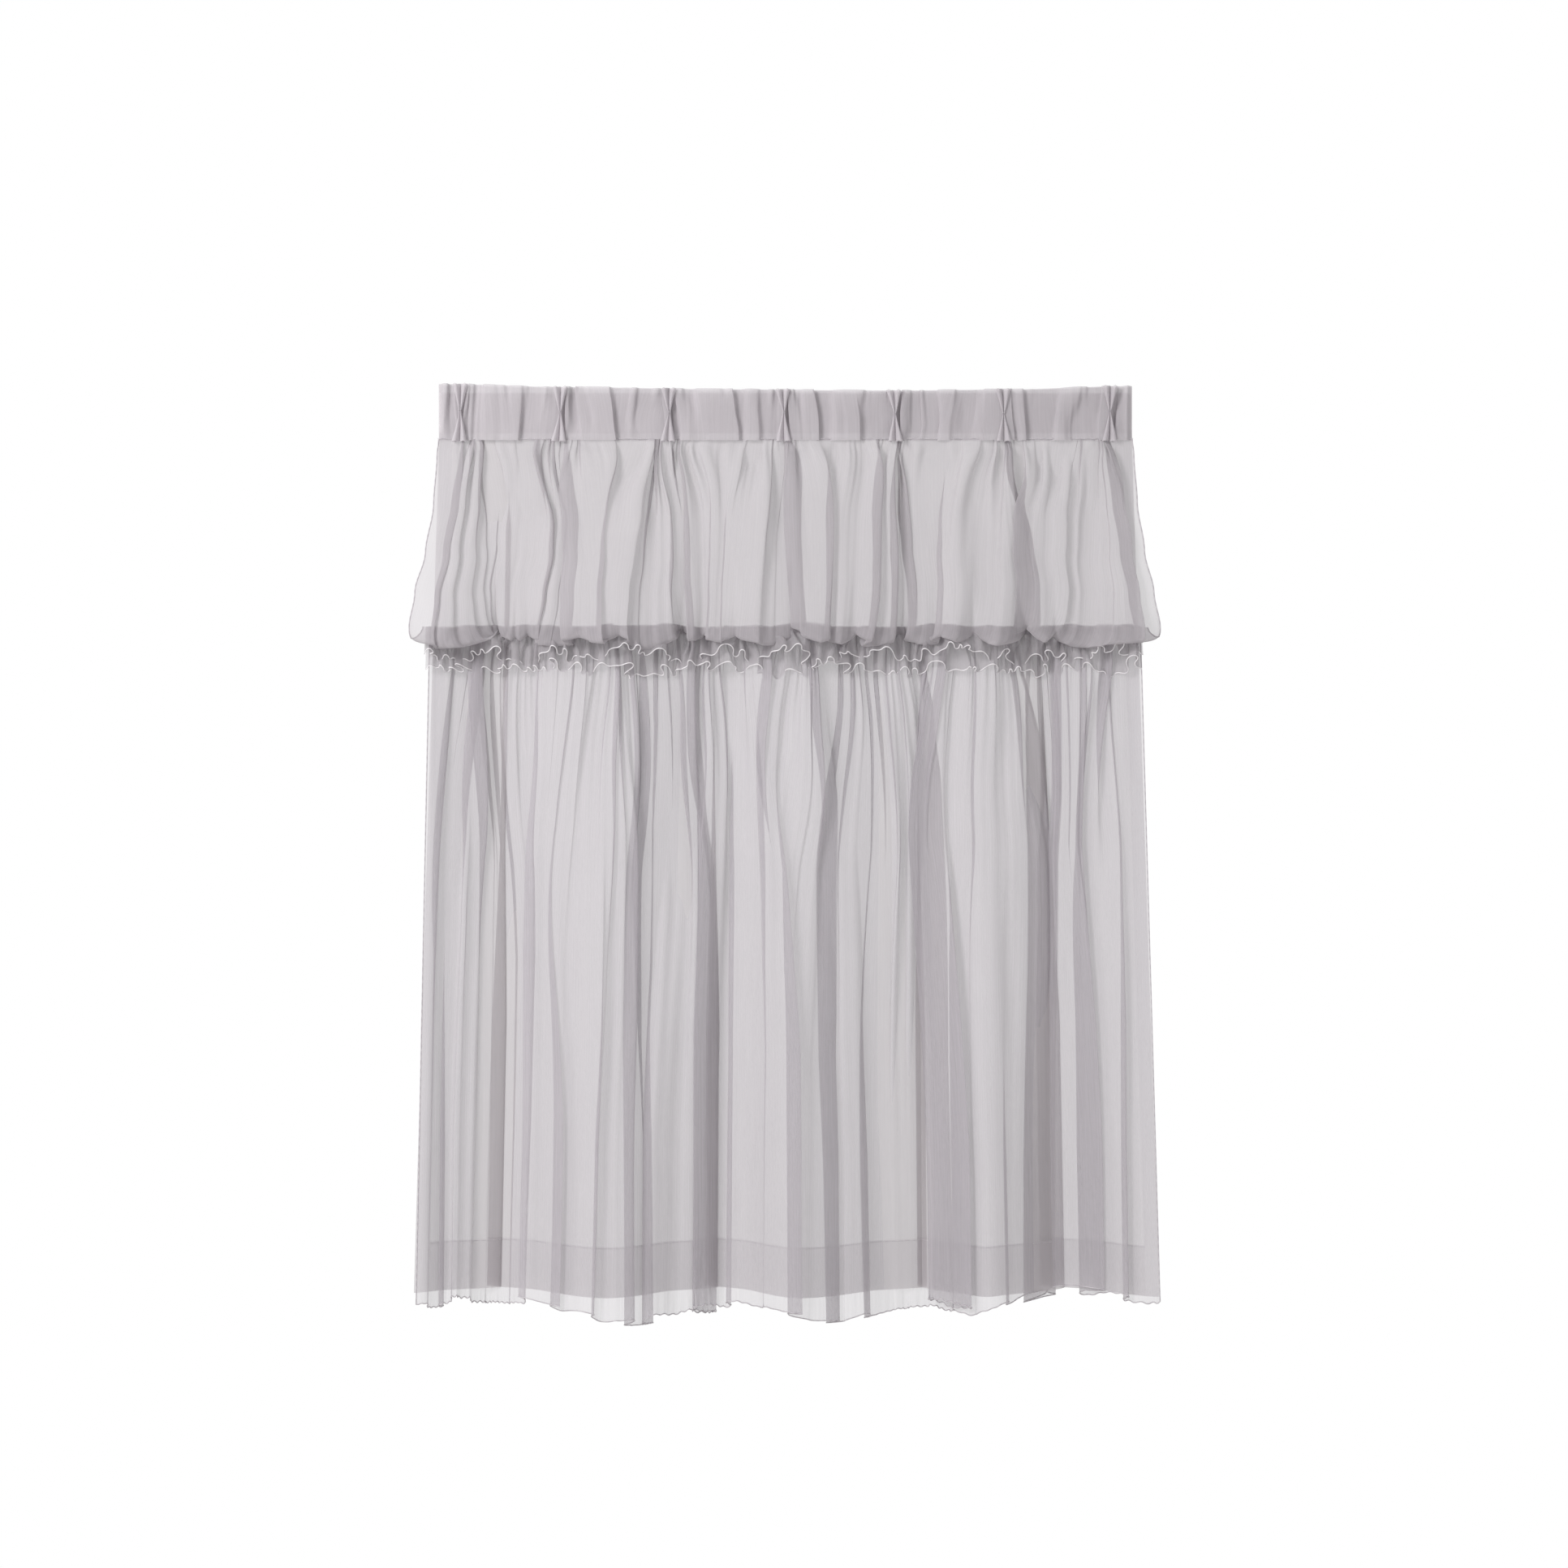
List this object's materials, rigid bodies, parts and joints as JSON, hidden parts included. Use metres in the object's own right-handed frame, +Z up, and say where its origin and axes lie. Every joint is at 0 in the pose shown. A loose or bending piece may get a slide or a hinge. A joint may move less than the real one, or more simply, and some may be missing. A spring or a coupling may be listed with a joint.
{
  "type": "window curtain on a rod",
  "caption": "Pinch-pleated sheer curtain with a balloon valance and frilled hem, hung by rings and pin hooks on a slim rod hidden behind its heading.",
  "frame": {"origin": "on the wall plane behind the curtain, level with the rod's axis and midway along the heading", "axes": "+X to the right as seen from the room, +Y into the wall, +Z up"},
  "size_m": [1.07, 0.1857, 1.335],
  "materials": {
    "coated_steel": "satin",
    "bright_steel": "satin",
    "white_plastic": "satin",
    "sheer_voile": "matte",
    "voile_lining": "matte",
    "white_tape": "matte",
    "edging_thread": "matte"
  },
  "bodies": {
    "brackets": {"wall_bracket_left": "coated_steel", "wall_screw_left_upper": "bright_steel", "wall_screw_left_lower": "bright_steel", "wall_bracket_right": "coated_steel", "wall_screw_right_upper": "bright_steel", "wall_screw_right_lower": "bright_steel"},
    "rod": {"curtain_rod": "coated_steel", "rod_end_cap_left": "white_plastic", "rod_end_cap_right": "white_plastic", "ring_1": "white_plastic", "hook_1": "bright_steel", "pinch_pleat_1": "sheer_voile", "heading_band": "sheer_voile", "heading_tape": "white_tape", "lining_panel": "voile_lining", "lining_hem": "voile_lining", "lining_side_hem_left": "voile_lining", "lining_side_hem_right": "voile_lining", "sheer_skirt": "sheer_voile", "sheer_skirt_edging": "edging_thread", "gathering_tape": "white_tape", "lower_frill": "sheer_voile", "lower_frill_edging": "edging_thread", "upper_frill": "sheer_voile", "upper_frill_edging": "edging_thread", "balloon_valance": "sheer_voile"},
    "set_screw_left": {"set_screw_left": "bright_steel"},
    "set_screw_right": {"set_screw_right": "bright_steel"},
    "carrier_2": {"ring_2": "white_plastic", "hook_2": "bright_steel", "pinch_pleat_2": "sheer_voile"},
    "carrier_3": {"ring_3": "white_plastic", "hook_3": "bright_steel", "pinch_pleat_3": "sheer_voile"},
    "carrier_4": {"ring_4": "white_plastic", "hook_4": "bright_steel", "pinch_pleat_4": "sheer_voile"},
    "carrier_5": {"ring_5": "white_plastic", "hook_5": "bright_steel", "pinch_pleat_5": "sheer_voile"},
    "carrier_6": {"ring_6": "white_plastic", "hook_6": "bright_steel", "pinch_pleat_6": "sheer_voile"},
    "carrier_7": {"ring_7": "white_plastic", "hook_7": "bright_steel", "pinch_pleat_7": "sheer_voile"}
  },
  "joints": [
    {"name": "rod_lift", "type": "slide", "parent": "brackets", "child": "rod", "axis": [0, 0, 1], "range_m": [0, 0.03]},
    {"name": "draw", "type": "slide", "parent": "rod", "child": "carrier_7", "axis": [1, 0, 0], "range_m": [-0.748, 0], "deforming": ["heading_band", "heading_tape", "lining_panel", "lining_hem", "lining_side_hem_left", "lining_side_hem_right", "sheer_skirt", "sheer_skirt_edging", "gathering_tape", "lower_frill", "lower_frill_edging", "upper_frill", "upper_frill_edging", "balloon_valance"]},
    {"name": "ring_2_slide", "type": "slide", "parent": "rod", "child": "carrier_2", "axis": [1, 0, 0], "range_m": [-0.1157, 0.0005]},
    {"name": "ring_3_slide", "type": "slide", "parent": "rod", "child": "carrier_3", "axis": [1, 0, 0], "range_m": [-0.2413, 0.0005]},
    {"name": "ring_4_slide", "type": "slide", "parent": "rod", "child": "carrier_4", "axis": [1, 0, 0], "range_m": [-0.3733, 0.0005]},
    {"name": "ring_5_slide", "type": "slide", "parent": "rod", "child": "carrier_5", "axis": [1, 0, 0], "range_m": [-0.5013, 0.0005]},
    {"name": "ring_6_slide", "type": "slide", "parent": "rod", "child": "carrier_6", "axis": [1, 0, 0], "range_m": [-0.6261, 0.0005]},
    {"name": "set_screw_left_turn", "type": "hinge", "parent": "brackets", "child": "set_screw_left", "pos_m": [-0.453, -0.078, 0.0015], "axis": [0, 1, 0], "range_deg": [0, 720]},
    {"name": "set_screw_right_turn", "type": "hinge", "parent": "brackets", "child": "set_screw_right", "pos_m": [0.482, -0.078, 0.0015], "axis": [0, 1, 0], "range_deg": [0, 720]}
  ],
  "couplings": [
    {"joint": "ring_2_slide", "follows": "draw", "ratio": 0.15401},
    {"joint": "ring_3_slide", "follows": "draw", "ratio": 0.32193},
    {"joint": "ring_4_slide", "follows": "draw", "ratio": 0.4984},
    {"joint": "ring_5_slide", "follows": "draw", "ratio": 0.66952},
    {"joint": "ring_6_slide", "follows": "draw", "ratio": 0.83636}
  ]
}
